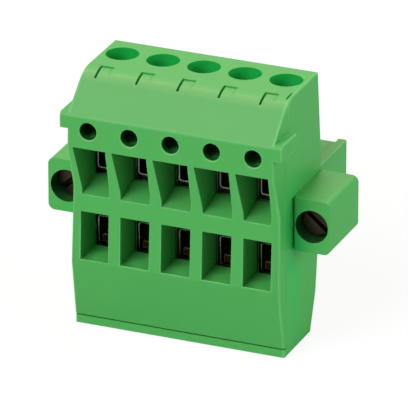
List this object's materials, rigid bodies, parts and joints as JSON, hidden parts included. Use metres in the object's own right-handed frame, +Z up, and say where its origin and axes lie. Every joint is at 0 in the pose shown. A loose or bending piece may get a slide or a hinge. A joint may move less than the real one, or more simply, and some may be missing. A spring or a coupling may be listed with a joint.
{
  "type": "pcb plug connector",
  "caption": "Green pluggable screw terminal plug with an upper and a lower wire entry for each pole, test sockets in its ledge, screw flanges at the ends and a mating nose.",
  "frame": {"origin": "middle of the part's box, on the plane that the base stands on", "axes": "+X along the row of poles, +Y the plugging direction towards the nose, +Z up"},
  "size_m": [0.035, 0.0224, 0.0313],
  "materials": {
    "housing_green": "moulded, with a soft sheen",
    "clamp_steel": "plated strip",
    "screw_steel": "plated",
    "contact_copper": "bare copper alloy"
  },
  "bodies": {
    "housing": {"rear_housing": "housing_green", "front_cover": "housing_green", "contact_1": "contact_copper", "contact_2": "contact_copper", "contact_3": "contact_copper", "contact_4": "contact_copper", "contact_5": "contact_copper"},
    "upper_screw_1": {"upper_screw_1": "screw_steel"},
    "upper_sleeve_1": {"upper_sleeve_1": "clamp_steel"},
    "upper_screw_2": {"upper_screw_2": "screw_steel"},
    "upper_sleeve_2": {"upper_sleeve_2": "clamp_steel"},
    "upper_screw_3": {"upper_screw_3": "screw_steel"},
    "upper_sleeve_3": {"upper_sleeve_3": "clamp_steel"},
    "upper_screw_4": {"upper_screw_4": "screw_steel"},
    "upper_sleeve_4": {"upper_sleeve_4": "clamp_steel"},
    "upper_screw_5": {"upper_screw_5": "screw_steel"},
    "upper_sleeve_5": {"upper_sleeve_5": "clamp_steel"},
    "lower_screw_1": {"lower_screw_1": "screw_steel"},
    "lower_sleeve_1": {"lower_sleeve_1": "clamp_steel"},
    "lower_screw_2": {"lower_screw_2": "screw_steel"},
    "lower_sleeve_2": {"lower_sleeve_2": "clamp_steel"},
    "lower_screw_3": {"lower_screw_3": "screw_steel"},
    "lower_sleeve_3": {"lower_sleeve_3": "clamp_steel"},
    "lower_screw_4": {"lower_screw_4": "screw_steel"},
    "lower_sleeve_4": {"lower_sleeve_4": "clamp_steel"},
    "lower_screw_5": {"lower_screw_5": "screw_steel"},
    "lower_sleeve_5": {"lower_sleeve_5": "clamp_steel"},
    "left_flange_screw": {"left_flange_screw": "screw_steel"},
    "right_flange_screw": {"right_flange_screw": "screw_steel"}
  },
  "joints": [
    {"name": "upper_screw_1_turn", "type": "hinge", "parent": "housing", "child": "upper_screw_1", "pos_m": [-0.01016, -0.0011, 0.027], "axis": [0, 0, -1], "range_deg": [0, 1261]},
    {"name": "upper_sleeve_1_lift", "type": "slide", "parent": "housing", "child": "upper_sleeve_1", "axis": [0, 0, 1], "range_m": [0, 0.00175]},
    {"name": "upper_screw_2_turn", "type": "hinge", "parent": "housing", "child": "upper_screw_2", "pos_m": [-0.00508, -0.0011, 0.027], "axis": [0, 0, -1], "range_deg": [0, 1261]},
    {"name": "upper_sleeve_2_lift", "type": "slide", "parent": "housing", "child": "upper_sleeve_2", "axis": [0, 0, 1], "range_m": [0, 0.00175]},
    {"name": "upper_screw_3_turn", "type": "hinge", "parent": "housing", "child": "upper_screw_3", "pos_m": [0, -0.0011, 0.027], "axis": [0, 0, -1], "range_deg": [0, 1261]},
    {"name": "upper_sleeve_3_lift", "type": "slide", "parent": "housing", "child": "upper_sleeve_3", "axis": [0, 0, 1], "range_m": [0, 0.00175]},
    {"name": "upper_screw_4_turn", "type": "hinge", "parent": "housing", "child": "upper_screw_4", "pos_m": [0.00508, -0.0011, 0.027], "axis": [0, 0, -1], "range_deg": [0, 1261]},
    {"name": "upper_sleeve_4_lift", "type": "slide", "parent": "housing", "child": "upper_sleeve_4", "axis": [0, 0, 1], "range_m": [0, 0.00175]},
    {"name": "upper_screw_5_turn", "type": "hinge", "parent": "housing", "child": "upper_screw_5", "pos_m": [0.01016, -0.0011, 0.027], "axis": [0, 0, -1], "range_deg": [0, 1261]},
    {"name": "upper_sleeve_5_lift", "type": "slide", "parent": "housing", "child": "upper_sleeve_5", "axis": [0, 0, 1], "range_m": [0, 0.00175]},
    {"name": "lower_screw_1_turn", "type": "hinge", "parent": "housing", "child": "lower_screw_1", "pos_m": [-0.01016, -0.0027, 0.004], "axis": [0, 0, 1], "range_deg": [0, 1261]},
    {"name": "lower_sleeve_1_lift", "type": "slide", "parent": "housing", "child": "lower_sleeve_1", "axis": [0, 0, -1], "range_m": [0, 0.00175]},
    {"name": "lower_screw_2_turn", "type": "hinge", "parent": "housing", "child": "lower_screw_2", "pos_m": [-0.00508, -0.0027, 0.004], "axis": [0, 0, 1], "range_deg": [0, 1261]},
    {"name": "lower_sleeve_2_lift", "type": "slide", "parent": "housing", "child": "lower_sleeve_2", "axis": [0, 0, -1], "range_m": [0, 0.00175]},
    {"name": "lower_screw_3_turn", "type": "hinge", "parent": "housing", "child": "lower_screw_3", "pos_m": [0, -0.0027, 0.004], "axis": [0, 0, 1], "range_deg": [0, 1261]},
    {"name": "lower_sleeve_3_lift", "type": "slide", "parent": "housing", "child": "lower_sleeve_3", "axis": [0, 0, -1], "range_m": [0, 0.00175]},
    {"name": "lower_screw_4_turn", "type": "hinge", "parent": "housing", "child": "lower_screw_4", "pos_m": [0.00508, -0.0027, 0.004], "axis": [0, 0, 1], "range_deg": [0, 1261]},
    {"name": "lower_sleeve_4_lift", "type": "slide", "parent": "housing", "child": "lower_sleeve_4", "axis": [0, 0, -1], "range_m": [0, 0.00175]},
    {"name": "lower_screw_5_turn", "type": "hinge", "parent": "housing", "child": "lower_screw_5", "pos_m": [0.01016, -0.0027, 0.004], "axis": [0, 0, 1], "range_deg": [0, 1261]},
    {"name": "lower_sleeve_5_lift", "type": "slide", "parent": "housing", "child": "lower_sleeve_5", "axis": [0, 0, -1], "range_m": [0, 0.00175]},
    {"name": "left_flange_screw_turn", "type": "hinge", "parent": "housing", "child": "left_flange_screw", "pos_m": [-0.01524, 0.0008, 0.01575], "axis": [0, 1, 0], "continuous": true},
    {"name": "right_flange_screw_turn", "type": "hinge", "parent": "housing", "child": "right_flange_screw", "pos_m": [0.01524, 0.0008, 0.01575], "axis": [0, 1, 0], "continuous": true}
  ],
  "couplings": [
    {"joint": "upper_screw_1_turn", "follows": "upper_sleeve_1_lift", "rad_per_m": 12566},
    {"joint": "upper_screw_2_turn", "follows": "upper_sleeve_2_lift", "rad_per_m": 12566},
    {"joint": "upper_screw_3_turn", "follows": "upper_sleeve_3_lift", "rad_per_m": 12566},
    {"joint": "upper_screw_4_turn", "follows": "upper_sleeve_4_lift", "rad_per_m": 12566},
    {"joint": "upper_screw_5_turn", "follows": "upper_sleeve_5_lift", "rad_per_m": 12566},
    {"joint": "lower_screw_1_turn", "follows": "lower_sleeve_1_lift", "rad_per_m": 12566},
    {"joint": "lower_screw_2_turn", "follows": "lower_sleeve_2_lift", "rad_per_m": 12566},
    {"joint": "lower_screw_3_turn", "follows": "lower_sleeve_3_lift", "rad_per_m": 12566},
    {"joint": "lower_screw_4_turn", "follows": "lower_sleeve_4_lift", "rad_per_m": 12566},
    {"joint": "lower_screw_5_turn", "follows": "lower_sleeve_5_lift", "rad_per_m": 12566}
  ]
}
